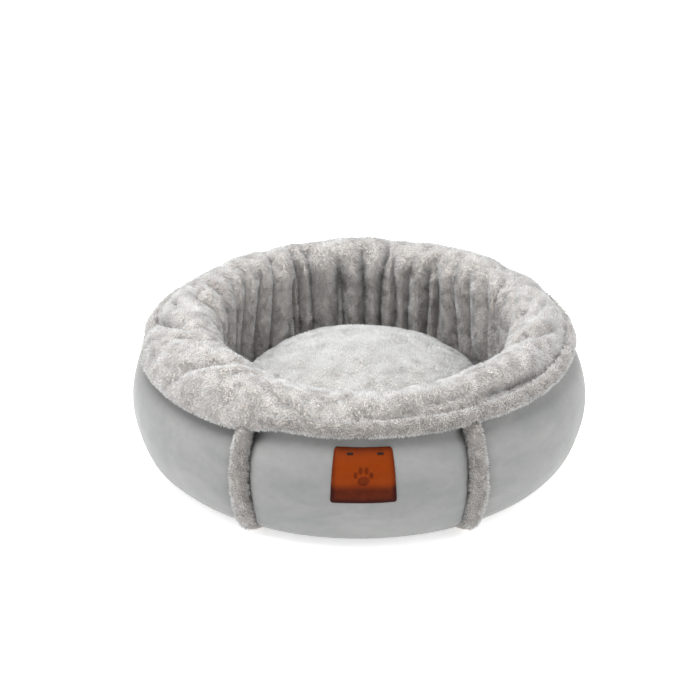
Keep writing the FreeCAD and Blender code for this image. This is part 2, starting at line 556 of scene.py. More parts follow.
@dataclass(frozen=True)
class TannedLeather(Finish):
    """Vegetable-tanned leather, stamped hot: a warm cinnamon brown that turns dark where pressed or cut, with
    painted shade darkening the label's lower part.
    """

    body: str = "#853503"
    dark: str = "#2C0400"
    grain_mm: float = 1.1

    def surface(self, tree: bpy.types.NodeTree) -> bpy.types.NodeSocket:
        """Mottled brown with pore grain, darkened by the piece's own attribute for burnt edges, the stamp and
        painted shade over its lower part.

        Args:
            tree: the material's node tree.
        Returns:
            The shader's output.
        """
        place = add(tree, "ShaderNodeTexCoord").outputs["Object"]
        # the attribute darkens the burnt edges and the stamp, and paints shade over the lower part
        burn = add(tree, "ShaderNodeAttribute", attribute_name="burn").outputs["Fac"]
        cloud = add(tree, "ShaderNodeTexNoise", {"Vector": place, "Scale": 1 / (9 * MM), "Detail": 6.0,
                                                 "Roughness": 0.65})
        grain = add(tree, "ShaderNodeTexVoronoi", {"Vector": place, "Scale": 1 / (self.grain_mm * MM)})
        shade = add(tree, "ShaderNodeMath", {0: cloud.outputs["Fac"], 1: 0.35}, operation="MULTIPLY")
        total = add(tree, "ShaderNodeMath", {0: shade.outputs[0], 1: burn}, operation="ADD", use_clamp=True)
        colour = add(tree, "ShaderNodeMix", {0: total.outputs[0], 6: linear(self.body), 7: linear(self.dark)},
                     data_type="RGBA")
        bump = add(tree, "ShaderNodeBump",
                   {"Height": grain.outputs["Distance"], "Strength": 0.3, "Distance": 0.25 * MM})
        rough = add(tree, "ShaderNodeMapRange", {"Value": cloud.outputs["Fac"], "To Min": 0.42, "To Max": 0.66})
        return add(tree, "ShaderNodeBsdfPrincipled", {
            "Base Color": colour.outputs[2],
            "Roughness": rough.outputs[0],
            "Specular IOR Level": 0.08,
            "Normal": bump.outputs[0],
        }).outputs[0]


@dataclass(frozen=True)
class PlainCloth(Finish):
    """Woven polyester: a matt cloth whose crossing threads show as a fine grid of light and dark.

    Its threads are drawn a few times coarser than real ones, so that they show.
    """

    warp: str = "#8C8884"
    weft: str = "#77736F"
    thread_mm: float = 1.6
    dot: str = ""
    dot_pitch_mm: float = 14.0

    def surface(self, tree: bpy.types.NodeTree) -> bpy.types.NodeSocket:
        """A plain weave of two wave patterns, with rubber grip dots printed on it if asked.

        Args:
            tree: the material's node tree.
        Returns:
            The shader's output.
        """
        place = add(tree, "ShaderNodeTexCoord").outputs["Object"]
        scale = math.pi / 10 / (self.thread_mm * MM)
        across = add(tree, "ShaderNodeTexWave", {"Vector": place, "Scale": scale}, bands_direction="X")
        along = add(tree, "ShaderNodeTexWave", {"Vector": place, "Scale": scale}, bands_direction="Y")
        weave = add(tree, "ShaderNodeMath", {0: across.outputs["Fac"], 1: along.outputs["Fac"]},
                    operation="MULTIPLY")
        colour = add(tree, "ShaderNodeMix", {0: weave.outputs[0], 6: linear(self.weft), 7: linear(self.warp)},
                     data_type="RGBA").outputs[2]
        if self.dot:
            cells = add(tree, "ShaderNodeTexVoronoi",
                        {"Vector": place, "Scale": 1 / (self.dot_pitch_mm * MM), "Randomness": 0.0},
                        voronoi_dimensions="2D")
            inside = add(tree, "ShaderNodeMath", {0: cells.outputs["Distance"], 1: 0.22}, operation="LESS_THAN")
            colour = add(tree, "ShaderNodeMix", {0: inside.outputs[0], 6: colour, 7: linear(self.dot)},
                         data_type="RGBA").outputs[2]
        bump = add(tree, "ShaderNodeBump", {"Height": weave.outputs[0], "Strength": 0.4, "Distance": 0.3 * MM})
        return add(tree, "ShaderNodeBsdfPrincipled", {
            "Base Color": colour,
            "Roughness": 0.9,
            "Specular IOR Level": 0.2,
            "Sheen Weight": 0.1,
            "Normal": bump.outputs[0],
        }).outputs[0]


@dataclass(frozen=True)
class StudioFloor(Finish):
    """A pale matt sweep under the bed, lit a little from below as a light table is."""

    pale: str = "#F7F7F7"
    glow: float = 0.50

    def surface(self, tree: bpy.types.NodeTree) -> bpy.types.NodeSocket:
        """A nearly even pale matt surface.

        Args:
            tree: the material's node tree.
        Returns:
            The shader's output.
        """
        place = add(tree, "ShaderNodeTexCoord").outputs["Object"]
        cloud = add(tree, "ShaderNodeTexNoise", {"Vector": place, "Scale": 3.0})
        colour = add(tree, "ShaderNodeMix",
                     {0: cloud.outputs["Fac"], 6: linear(self.pale), 7: linear("#FFFFFF")}, data_type="RGBA")
        return add(tree, "ShaderNodeBsdfPrincipled", {
            "Base Color": colour.outputs[2],
            "Roughness": 0.9,
            "Specular IOR Level": 0.1,
            "Emission Color": linear("#FFFFFF"),
            "Emission Strength": self.glow,
        }).outputs[0]


GREY_PILE = PlushPile("polyester_plush_grey")
LIGHT_PILE = PlushPile("polyester_plush_light", root="#B6B1AC", middle="#CFD0CF", tip="#DEE0E0", deep="#E4E3E2")
# The rolls' much darker roots are painted shade for the shaded sides of the strips and piping.
ROLL_PILE = PlushPile("polyester_plush_grey_low", root="#8A817A", middle="#C6C4C2", tip="#DDDFDF")
# The grounds are darker than their pile as painted shade between the tufts; the rolls' ground is darker still.
GREY_BACKING = PlushBacking("plush_ground_grey")
ROLL_BACKING = PlushBacking("plush_ground_grey_low", low="#A8A09A", high="#BFBAB6")
LIGHT_BACKING = PlushBacking("plush_ground_light", low="#C9C3BD", high="#E0DDD9")
SUEDE = BrushedSuede("brushed_suede_grey")
LEATHER = TannedLeather("tanned_leather_brown")
THREAD = PlainCloth("waxed_thread_dark", warp="#2E1A10", weft="#1C0F08", thread_mm=0.5)
LINING_CLOTH = PlainCloth("woven_polyester_grey")
GRIP_CLOTH = PlainCloth("grip_cloth_charcoal", warp="#3B3D40", weft="#2B2D2F", dot="#17181A")


# ------------------------------------------------------------------ pile made of real tufts


@dataclass
class Pile:
    """Plush pile: small pointed tufts that stand on a ground surface, leaning together in clumps.

    Each tuft stands for some hundreds of fibres, which are too fine to show.
    """

    length: float = 3.2 * MM
    width: float = 1.9 * MM
    spacing: float = 1.05 * MM
    clump: float = 12.0 * MM
    lean: float = 0.65
    droop: float = 0.35
    shade_patch: float = 17.0 * MM
    showing: float = 0.42
    tuft: Optional[bpy.types.Object] = field(default=None, init=False)

    def make_tuft(self) -> bpy.types.Object:
        """One tuft: a thin three-sided point, with its height kept as an attribute."""
        bm = bmesh.new()
        bmesh.ops.create_cone(bm, cap_ends=False, segments=3, radius1=self.width / 2, radius2=0.0,
                              depth=self.length)
        bmesh.ops.remove_doubles(bm, verts=bm.verts, dist=1e-6)
        bmesh.ops.translate(bm, verts=bm.verts, vec=(0, 0, self.length * self.showing))
        height = bm.verts.layers.float.new("tip")
        low = min(vert.co.z for vert in bm.verts)
        high = max(vert.co.z for vert in bm.verts)
        for vert in bm.verts:
            vert[height] = (vert.co.z - low) / (high - low)
        made = mesh_object("tuft_master", bm)
        made.hide_render = True
        return made

    def recipe(self, finish: Finish, seed: int) -> bpy.types.NodeTree:
        """The node tree that scatters, leans, shades and joins the tufts.

        Args:
            finish: what the tufts are made of.
            seed: fixes the tufts' places.
        Returns:
            The node tree.
        """
        tree = bpy.data.node_groups.new("pile_recipe", "GeometryNodeTree")
        tree.interface.new_socket("Geometry", in_out="INPUT", socket_type="NodeSocketGeometry")
        tree.interface.new_socket("Geometry", in_out="OUTPUT", socket_type="NodeSocketGeometry")
        ground = add(tree, "NodeGroupInput").outputs[0]
        spread = add(tree, "GeometryNodeDistributePointsOnFaces",
                     {"Mesh": ground, "Distance Min": self.spacing, "Density Max": 0.9 / self.spacing ** 2,
                      "Seed": seed}, distribute_method="POISSON")
        place = add(tree, "GeometryNodeInputPosition").outputs[0]
        drift = add(tree, "ShaderNodeTexNoise", {"Vector": place, "Scale": 1 / self.clump, "Detail": 1.5})
        sway = add(tree, "ShaderNodeVectorMath", {0: drift.outputs["Color"], 1: (0.5, 0.5, 0.5)},
                   operation="SUBTRACT")
        wild = add(tree, "FunctionNodeRandomValue",
                   {0: (-0.2, -0.2, -0.2 - self.droop), 1: (0.2, 0.2, 0.2 - self.droop), "Seed": seed + 1},
                   data_type="FLOAT_VECTOR")
        pushed = add(tree, "ShaderNodeVectorMath",
                     {0: sway.outputs[0], 1: (4 * self.lean,) * 3, 2: spread.outputs["Normal"]},
                     operation="MULTIPLY_ADD")
        aim = add(tree, "ShaderNodeVectorMath", {0: pushed.outputs[0], 1: wild.outputs[0]}, operation="ADD")
        stand = add(tree, "FunctionNodeAlignRotationToVector", {"Vector": aim.outputs[0]}, axis="Z")
        around = add(tree, "FunctionNodeRandomValue", {2: 0.0, 3: 2 * math.pi, "Seed": seed + 2})
        spun = add(tree, "FunctionNodeAxisAngleToRotation", {"Axis": (0, 0, 1), "Angle": around.outputs[1]})
        rotation = add(tree, "FunctionNodeRotateRotation",
                       {"Rotation": stand.outputs[0], "Rotate By": spun.outputs[0]}, rotation_space="LOCAL")
        patch = add(tree, "ShaderNodeTexNoise", {"Vector": place, "Scale": 1 / self.shade_patch, "Detail": 2.0})
        own = add(tree, "FunctionNodeRandomValue", {2: -0.10, 3: 0.10, "Seed": seed + 3})
        wide = add(tree, "ShaderNodeMath", {0: patch.outputs["Fac"], 1: 1.9, 2: -0.4}, operation="MULTIPLY_ADD")
        shade = add(tree, "ShaderNodeMath", {0: wide.outputs[0], 1: own.outputs[1]}, operation="ADD",
                    use_clamp=True)
        marked = add(tree, "GeometryNodeStoreNamedAttribute",
                     {"Geometry": spread.outputs["Points"], "Name": "shade", "Value": shade.outputs[0]},
                     domain="POINT", data_type="FLOAT")
        size = add(tree, "FunctionNodeRandomValue", {2: 0.7, 3: 1.25, "Seed": seed + 4})
        tuft = add(tree, "GeometryNodeObjectInfo", {"Object": self.tuft, "As Instance": True})
        stood = add(tree, "GeometryNodeInstanceOnPoints",
                    {"Points": marked.outputs[0], "Instance": tuft.outputs["Geometry"],
                     "Rotation": rotation.outputs[0], "Scale": size.outputs[1]})
        joined = add(tree, "GeometryNodeRealizeInstances", {"Geometry": stood.outputs[0]})
        dressed = add(tree, "GeometryNodeSetMaterial",
                      {"Geometry": joined.outputs[0], "Material": finish.material()})
        add(tree, "NodeGroupOutput", {0: dressed.outputs[0]})
        return tree

    def grow(self, name: str, ground: bpy.types.Object, finish: Finish, seed: int,
             keep: Optional[Callable[[Vector], bool]] = None) -> bpy.types.Object:
        """Grow pile on a ground surface.

        Args:
            name: the pile's name.
            ground: the surface, whose modifiers count.
            finish: what the tufts are made of.
            seed: fixes the tufts' places.
            keep: says of a face's middle whether it gets pile; all do without it.
        Returns:
            The pile as one mesh piece.
        """
        if self.tuft is None:
            self.tuft = self.make_tuft()
        shape = bpy.context.evaluated_depsgraph_get()
        bm = bmesh.new()
        bm.from_mesh(ground.evaluated_get(shape).to_mesh())
        if keep is not None:
            bare = [face for face in bm.faces if not keep(face.calc_center_median())]
            bmesh.ops.delete(bm, geom=bare, context="FACES")
        made = mesh_object(name, bm)
        grower = made.modifiers.new("pile", "NODES")
        grower.node_group = self.recipe(finish, seed)
        shape = bpy.context.evaluated_depsgraph_get()
        mesh = bpy.data.meshes.new_from_object(made.evaluated_get(shape), depsgraph=shape)
        made.modifiers.clear()
        made.data = mesh
        self.lay_out(mesh)
        return made

    def lay_out(self, mesh: bpy.types.Mesh, width: float = 0.01) -> None:
        """Give the pile a map whose two ways are a tuft's shade and the height in it, as its colour is.

        Args:
            mesh: the pile's mesh, all of it tufts of three triangles.
            width: how far apart a tuft's lower corners lie in the map.
        """
        count = len(mesh.vertices)
        tip, shade = numpy.empty(count), numpy.empty(count)
        mesh.attributes["tip"].data.foreach_get("value", tip)
        mesh.attributes["shade"].data.foreach_get("value", shade)
        corners = numpy.empty(len(mesh.loops), dtype=int)
        mesh.loops.foreach_get("vertex_index", corners)
        high = tip[corners].reshape(-1, 3)
        lower = numpy.cumsum(high < 0.5, axis=1) * 2 - 3
        aside = numpy.where(high < 0.5, lower * width / 2, 0.0)
        places = numpy.stack((0.02 + 0.96 * shade[corners].reshape(-1, 3) + aside, 0.02 + 0.96 * high), axis=2)
        chart = mesh.uv_layers.new(name="OFBake")
        chart.data.foreach_set("uv", places.ravel())


# ------------------------------------------------------------------ cloth simulation


@dataclass
class Inflation:
    """One run of Blender's cloth that puffs a stuffed cover out, capped so that it keeps its size."""

    pressure: float = 4.0
    frames: int = 20
    cap: float = 8.0 * MM
    shrink: float = 0.0
    stiffness: float = 15.0
    bending: float = 0.5

    def puff(self, cover: bpy.types.Object, held: list[float], slack: Optional[list[float]] = None) -> None:
        """Simulate the cover, and keep the result in its own mesh.

        Args:
            cover: the mesh object to puff.
            held: how firmly each vertex is sewn down, from 0 to 1.
            slack: where the cloth has spare length, from 0 to 1.
        """
        start = [vert.co.copy() for vert in cover.data.vertices]
        pins = cover.vertex_groups.new(name="sewn")
        for index, weight in enumerate(held):
            pins.add([index], weight, "REPLACE")
        cloth = cover.modifiers.new("puff", "CLOTH")
        settings = cloth.settings
        settings.quality = 6
        settings.mass = 0.15
        settings.tension_stiffness = self.stiffness
        settings.compression_stiffness = self.stiffness
        settings.shear_stiffness = 3.0
        settings.bending_stiffness = self.bending
        settings.air_damping = 2.0
        settings.vertex_group_mass = "sewn"
        settings.use_pressure = True
        settings.uniform_pressure_force = self.pressure
        settings.effector_weights.gravity = 0.0
        if slack is not None:
            loose = cover.vertex_groups.new(name="loose")
            for index, weight in enumerate(slack):
                loose.add([index], weight, "REPLACE")
            settings.vertex_group_shrink = "loose"
            settings.shrink_min = 0.0
            settings.shrink_max = self.shrink
        cloth.collision_settings.use_collision = False
        cloth.collision_settings.use_self_collision = False
        scene = bpy.context.scene
        cloth.point_cache.frame_start = 1
        cloth.point_cache.frame_end = self.frames
        for step in range(1, self.frames + 1):
            scene.frame_set(step)
        shape = bpy.context.evaluated_depsgraph_get()
        puffed = cover.evaluated_get(shape).to_mesh()
        ends = [vert.co.copy() for vert in puffed.vertices]
        cover.modifiers.remove(cloth)
        cover.vertex_groups.clear()
        for vert, was, now in zip(cover.data.vertices, start, ends):
            move = now - was
            if move.length > self.cap:
                move *= self.cap / move.length
            vert.co = was + move
        scene.frame_set(1)


# ------------------------------------------------------------------ outer wall


@dataclass
class OuterWall:
    """Four suede panels, stretched over the stuffing and pulled in where the strips are sewn on."""

    sizes: BedSizes
    pitch: float = 5.0 * MM
    pinch_front: float = 17.0 * MM
    pinch_side: float = 5.5 * MM
    pinch_width: float = 12.0 * MM
    seam_tuck: float = 9.0 * MM
    bulge: float = 1.0 * MM
    ripple_depth: float = 1.0 * MM
    pucker_depth: float = 0.9 * MM
    pucker_pitch: float = 13.0 * MM
    inflation: Inflation = field(default_factory=lambda: Inflation(pressure=3.0, frames=10, cap=3.0 * MM))

    def section(self) -> list[tuple[float, float]]:
        """The wall's line from under the rim piping down to the base."""
        belly_middle, belly_radius, seam_turn = self.sizes.belly()
        edge_middle, edge_radius, edge_turn = self.sizes.bottom_edge()
        upper = arc_points(belly_middle, belly_radius, seam_turn, edge_turn, self.pitch)
        lower = arc_points(edge_middle, edge_radius, edge_turn, -math.pi / 2, self.pitch)
        return upper + lower[1:]

    def shaped(self, co: Vector) -> Vector:
        """Where a point of the plain wall ends up on the sewn and stuffed one.

        Args:
            co: the point on the plain wall.
        Returns:
            Its new place.
        """
        sizes = self.sizes
        turn = math.atan2(co.y, co.x)
        radius = math.hypot(co.x, co.y)
        out = Vector((math.cos(turn), math.sin(turn), 0))
        seam = min(abs(turn_between(turn, angle)) for angle in sizes.strip_angles.values()) * sizes.wall_radius
        low = ease(0.0, 55 * MM, co.z)
        within = min(sizes.strip_angles.values(), key=lambda angle: abs(turn_between(turn, angle)))
        beside = abs(turn_between(turn, FRONT)) < abs(turn_between(within, FRONT))
        pinch = self.pinch_front if beside else self.pinch_side
        depth = -pinch * hump(seam, self.pinch_width) * (0.35 + 0.65 * low)
        depth += self.bulge * (1 - hump(seam, 60 * MM)) * low
        broad = ripple(co.x / (75 * MM), co.y / (75 * MM), co.z / (60 * MM), 1.0)
        fine = ripple(co.x / (22 * MM), co.y / (22 * MM), co.z / (34 * MM), 2.0)
        depth += self.ripple_depth * (1.6 * broad + 0.5 * fine)
        below_seam = sizes.seam_height - co.z
        under_lip = slouched(turn)
        tuck = self.seam_tuck * (1 + 0.8 * under_lip)
        depth -= tuck * hump(below_seam - (12 * MM + 5 * MM * under_lip), 13 * MM)
        pucker = math.sin(turn * sizes.wall_radius / self.pucker_pitch * 2 * math.pi + 3 * broad)
        depth += self.pucker_depth * pucker * hump(below_seam, 14 * MM)
        side_pucker = math.sin(co.z / (15 * MM) * 2 * math.pi + 4 * broad)
        depth += self.pucker_depth * side_pucker * hump(seam - 14 * MM, 12 * MM)
        depth *= ease(0.0, 20 * MM, co.z)
        return Vector((0, 0, co.z)) + out * (radius + depth)

    def sewn(self, co: Vector) -> float:
        """How firmly the cloth is held at a place: wholly at strips, rim and base, and free between."""
        turn = math.atan2(co.y, co.x)
        seam = min(abs(turn_between(turn, angle)) for angle in self.sizes.strip_angles.values())
        beside = ease(34 * MM, 14 * MM, seam * self.sizes.wall_radius)
        rim = ease(30 * MM, 12 * MM, self.sizes.seam_height - co.z)
        return max(beside, rim, ease(24 * MM, 8 * MM, co.z))

    def panel(self, side: Side, start: float, end: float) -> bpy.types.Object:
        """Make one panel.

        Args:
            side: which one.
            start: the angle about Z of its first strip.
            end: the angle about Z of its second strip.
        Returns:
            The panel.
        """
        sweep = (end - start) % (2 * math.pi)
        bm = bmesh.new()
        spin_line(bm, self.section(), start, sweep, round(sweep * self.sizes.wall_radius / self.pitch))
        face_out(bm, lambda at: Vector((at.x, at.y, 0)))
        for vert in bm.verts:
            vert.co = self.shaped(vert.co)
        panel = mesh_object("suede_panel_" + side.label, bm, SUEDE)
        self.inflation.puff(panel, [self.sewn(vert.co) for vert in panel.data.vertices])
        smooth(panel)
        thicken(panel, 1.5 * MM)
        declare(panel, Body.NEST, Cloth.SUEDE, "wall_panel_" + side.label, fill=0.8)
        return panel

    def build(self) -> dict[Side, bpy.types.Object]:
        """Make the four panels.

        Returns:
            Side to panel.
        """
        angles = self.sizes.strip_angles
        spans = {
            Side.FRONT: (Corner.FRONT_LEFT, Corner.FRONT_RIGHT),
            Side.RIGHT: (Corner.FRONT_RIGHT, Corner.BACK_RIGHT),
            Side.BACK: (Corner.BACK_RIGHT, Corner.BACK_LEFT),
            Side.LEFT: (Corner.BACK_LEFT, Corner.FRONT_LEFT),
        }
        return {side: self.panel(side, angles[start], angles[end]) for side, (start, end) in spans.items()}


# ------------------------------------------------------------------ leather label


@dataclass
class LeatherLabel:
    """The hot-stamped leather label on the front, held by two thread tacks."""

    sizes: BedSizes
    panel: bpy.types.Object
    pitch: float = 0.75 * MM
    corner: float = 3.0 * MM
    taper: float = 0.07
    pressed: float = 0.45 * MM
    edge_burn: float = 3.5 * MM
    tack_radius: float = 0.9 * MM
    tack_length: float = 7.0 * MM
    tack_places: tuple[float, float] = (-14.0 * MM, 18.0 * MM)
    cloth: BVHTree = field(init=False)

    def __post_init__(self) -> None:
        """Take the front panel's shape, as it came out of the sewing and stuffing."""
        self.cloth = BVHTree.FromObject(self.panel, bpy.context.evaluated_depsgraph_get())

    def frame_box(self) -> tuple[float, float, float, float]:
        """The label's middle across, its middle height, its half width and its half height."""
        low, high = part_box("label_patch")
        return (low[0] + high[0]) / 2, (low[2] + high[2]) / 2, (high[0] - low[0]) / 2, (high[2] - low[2]) / 2

    def on_wall(self, across: float, height: float, stand: float) -> Vector:
        """Find a place on the front panel.

        Args:
            across: its distance from the middle of the front, along the wall.
            height: its height above the floor.
            stand: how far it stands off the cloth.
        Returns:
            The place.
        """
        turn = FRONT + across / self.sizes.wall_radius
        out = Vector((math.cos(turn), math.sin(turn), 0))
        found = self.cloth.ray_cast(out * 2 * self.sizes.wall_radius + Vector((0, 0, height)), -out)[0]
        return found + out * stand

    def stamp(self, across: float, height: float) -> float:
        """How strongly the stamped paw print presses at a place, from 0 to 1.

        Args:
            across: the place's distance from the print's middle, to the right.
            height: its distance upwards.
        Returns:
            The strength.
        """
        pads = ((0.0, -3.4, 6.4, 5.0), (-8.2, 2.4, 2.3, 3.3), (-3.2, 6.8, 2.4, 3.6), (3.2, 6.8, 2.4, 3.6),
                (8.2, 2.4, 2.3, 3.3))
        deepest = 0.0
        for x, y, wide, tall in pads:
            reach = math.hypot((across / MM - x) / wide, (height / MM - y) / tall)
            deepest = max(deepest, 1 - ease(0.85, 1.1, reach))
        return deepest

    def patch(self) -> bpy.types.Object:
        """The leather itself, with rounded corners, a stamped paw print, darkened cut edges and painted shade
        over its lower part.
        """
        middle, rise, half_wide, half_tall = self.frame_box()
        bm = bmesh.new()
        bmesh.ops.create_grid(bm, x_segments=round(2 * half_wide / self.pitch),
                              y_segments=round(2 * half_tall / self.pitch), size=1.0)
        bmesh.ops.scale(bm, verts=bm.verts, vec=(half_wide, half_tall, 1.0))
        burn = bm.verts.layers.float.new("burn")
        inner = (half_wide - self.corner, half_tall - self.corner)
        for vert in bm.verts:
            corner = [max(0.0, abs(vert.co[axis]) - inner[axis]) / self.corner for axis in (0, 1)]
            rounded = (corner[0] * math.sqrt(1 - corner[1] ** 2 / 2),
                       corner[1] * math.sqrt(1 - corner[0] ** 2 / 2))
            for axis in (0, 1):
                if corner[axis] > 0:
                    vert.co[axis] = math.copysign(inner[axis] + rounded[axis] * self.corner, vert.co[axis])
            edge = min(half_wide - abs(vert.co.x), half_tall - abs(vert.co.y))
            stamped = self.stamp(vert.co.x, vert.co.y - 1 * MM)
            # painted shade: the label's lower part is darkened, below a wavy line
            wave = 2 * MM * ripple(vert.co.x / (20 * MM), 0.0, 0.0, 31.0)
            painted_low_shade = ease(-half_tall * 0.1, -half_tall * 0.5, vert.co.y + wave)
            vert[burn] = min(1.0, 0.45 * hump(edge, self.edge_burn) + 0.40 * stamped + 0.60 * painted_low_shade)
            vert.co.z = -self.pressed * stamped - 0.4 * MM * hump(edge, 1.2 * MM)
        bmesh.ops.recalc_face_normals(bm, faces=bm.faces)
        face_out(bm, lambda at: Vector((0, 0, 1)))
        bmesh.ops.solidify(bm, geom=bm.faces, thickness=1.6 * MM)
        for vert in bm.verts:
            narrow = 1 - self.taper * (0.5 + vert.co.y / (2 * half_tall))
            stand = vert.co.z + 1.9 * MM
            vert.co = self.on_wall(middle + vert.co.x * narrow, rise + vert.co.y, stand)
        bmesh.ops.recalc_face_normals(bm, faces=bm.faces)
        return mesh_object("leather_label", bm, LEATHER)

    def tacks(self) -> bpy.types.Object:
        """Two short bar tacks of dark thread near the label's upper corners."""
        middle, rise, _, half_tall = self.frame_box()
        bm = bmesh.new()
        for tack in self.tack_places:
            made = bmesh.ops.create_uvsphere(bm, u_segments=14, v_segments=10, radius=self.tack_radius)
            for vert in made["verts"]:
                stretch = math.copysign(self.tack_length / 2 - self.tack_radius, vert.co.x)
                across = tack + vert.co.x + stretch
                vert.co = self.on_wall(middle + across, rise + half_tall - 4.5 * MM + vert.co.y,
                                       2.3 * MM + vert.co.z)
        bmesh.ops.recalc_face_normals(bm, faces=bm.faces)
        return mesh_object("label_thread_tacks", bm, THREAD)

    def build(self) -> None:
        """Make the label and its tacks."""
        declare(self.patch(), Body.NEST, Cloth.LEATHER, "label_patch")
        declare(self.tacks(), Body.NEST, Cloth.THREAD, "label_stitches")


# ------------------------------------------------------------------ rim piping and wall strips


@dataclass
class PlushRolls:
    """The plush piping round the rim, and the four plush strips that run down the wall."""

    sizes: BedSizes
    pile: Pile
    strip_radius: float = 11.5 * MM
    strip_sink: float = 3.5 * MM
    strip_taper: float = 0.22
    strip_tuck: float = 9.0 * MM
    lump: float = 1.2 * MM
    around: int = 20
    pitch: float = 4.0 * MM

    def lumpy(self, bm: bmesh.types.BMesh, seed: float) -> None:
        """Push the roll's skin in and out a little, so that it isn't a machine-made tube."""
        bm.normal_update()
        moves = {vert: vert.normal * self.lump * ripple(*(vert.co / (16 * MM)), seed) for vert in bm.verts}
        for vert, move in moves.items():
            vert.co += move

    def piping(self) -> bpy.types.Object:
        """The round piping along the seam between lip and wall."""
        sizes = self.sizes
        bm = bmesh.new()
        ring = bmesh.ops.create_circle(bm, segments=self.around, radius=sizes.piping_radius - 2 * MM)
        bmesh.ops.rotate(bm, verts=bm.verts, cent=(0, 0, 0), matrix=Matrix.Rotation(math.pi / 2, 3, "X"))
        bmesh.ops.translate(bm, verts=bm.verts, vec=(sizes.seam_radius, 0, sizes.seam_height))
        steps = round(2 * math.pi * sizes.seam_radius / self.pitch)
        bmesh.ops.spin(bm, geom=ring["verts"] + bm.edges[:], cent=(0, 0, 0), axis=(0, 0, 1), angle=2 * math.pi,
                       steps=steps, use_merge=True, use_duplicate=False)
        bmesh.ops.remove_doubles(bm, verts=bm.verts, dist=1e-6)
        bmesh.ops.recalc_face_normals(bm, faces=bm.faces)
        self.lumpy(bm, 5.0)
        for vert in bm.verts:
            turn = math.atan2(vert.co.y, vert.co.x)
            heart = Vector((math.cos(turn), math.sin(turn), 0)) * sizes.seam_radius
            heart.z = sizes.seam_height
            vert.co = heart.lerp(vert.co, 1 - 0.5 * slouched(turn))
        roll = mesh_object("rim_piping_roll", bm, ROLL_BACKING)
        declare(roll, Body.NEST, Cloth.PLUSH_GREY, "rim_piping", "rim_piping_cord", fill=0.7)
        return roll

    def strip(self, corner: Corner, angle: float) -> bpy.types.Object:
        """Make one strip down the wall, from inside the rim piping to under the bottom edge.

        Args:
            corner: where it is.
            angle: its angle about Z.
        Returns:
            The strip, without its pile.
        """
        sizes = self.sizes
        belly_middle, belly_radius, seam_turn = sizes.belly()
        edge_middle, edge_radius, edge_turn = sizes.bottom_edge()
        bm = bmesh.new()
        heart = belly_radius - self.strip_sink
        start = (belly_middle[0] + heart * math.cos(seam_turn), belly_middle[1] + heart * math.sin(seam_turn))
        bmesh.ops.create_circle(bm, segments=self.around, radius=self.strip_radius - 2.5 * MM)
        bmesh.ops.rotate(bm, verts=bm.verts, cent=(0, 0, 0), matrix=Matrix.Rotation(-seam_turn, 3, "Y"))
        bmesh.ops.translate(bm, verts=bm.verts, vec=(start[0], 0, start[1]))
        last = bm.edges[:]
        bends = (
            (belly_middle, heart, edge_turn - seam_turn),
            (edge_middle, edge_radius - self.strip_sink, -math.pi / 2 - edge_turn),
        )
        for middle, radius, sweep in bends:
            steps = max(3, round(abs(sweep) * radius / self.pitch))
            spun = bmesh.ops.spin(bm, geom=last, cent=(middle[0], 0, middle[1]), axis=(0, 1, 0), angle=-sweep,
                                  steps=steps, use_duplicate=False)
            last = [item for item in spun["geom_last"] if isinstance(item, bmesh.types.BMEdge)]
        bmesh.ops.remove_doubles(bm, verts=bm.verts, dist=1e-6)
        bmesh.ops.holes_fill(bm, edges=bm.edges[:], sides=0)
        bmesh.ops.recalc_face_normals(bm, faces=bm.faces)
        self.lumpy(bm, 6.0)
        for vert in bm.verts:
            vert.co.y *= 1 - self.strip_taper * ease(40 * MM, sizes.seam_height, vert.co.z)
            vert.co.x -= self.strip_tuck * ease(sizes.seam_height - 16 * MM, sizes.seam_height, vert.co.z)
        bmesh.ops.rotate(bm, verts=bm.verts, cent=(0, 0, 0), matrix=Matrix.Rotation(angle, 3, "Z"))
        for vert in bm.verts:
            vert.co.z = max(vert.co.z, 1.2 * MM)
        roll = mesh_object("plush_strip_" + corner.label, bm, ROLL_BACKING)
        declare(roll, Body.NEST, Cloth.PLUSH_GREY, "wall_strip_" + corner.label,
                "wall_strip_cord_" + corner.label, fill=0.7)
        return roll

    def build(self) -> None:
        """Make the piping and the strips, and grow their pile."""
        piping = self.piping()
        for seed, side in enumerate(Side):
            fuzz = self.pile.grow("rim_piping_pile_" + side.label, piping, ROLL_PILE, 20 + seed,
                                  self.outer_face(side))
            declare(fuzz, Body.NEST, Cloth.PLUSH_GREY)
        top = self.sizes.seam_height - 4 * MM
        for seed, (corner, angle) in enumerate(self.sizes.strip_angles.items()):
            fuzz = self.pile.grow("plush_strip_pile_" + corner.label, self.strip(corner, angle), ROLL_PILE,
                                  30 + seed, lambda at: 7 * MM < at.z < top)
            declare(fuzz, Body.NEST, Cloth.PLUSH_GREY)

    def outer_face(self, side: Side) -> Callable[[Vector], bool]:
        """Make the test of whether a place on the piping lies on a side and can be seen, outside the seam.

        Args:
            side: the side of the bed.
        Returns:
            The test.
        """
        inner = self.sizes.seam_radius - 4 * MM

        def seen(place: Vector) -> bool:
            """Whether the place gets pile."""
            outside = math.hypot(place.x, place.y) > inner
            return side.faces(place) and outside and slouched(math.atan2(place.y, place.x)) < 0.6

        return seen


# ------------------------------------------------------------------ gathered lining and lip


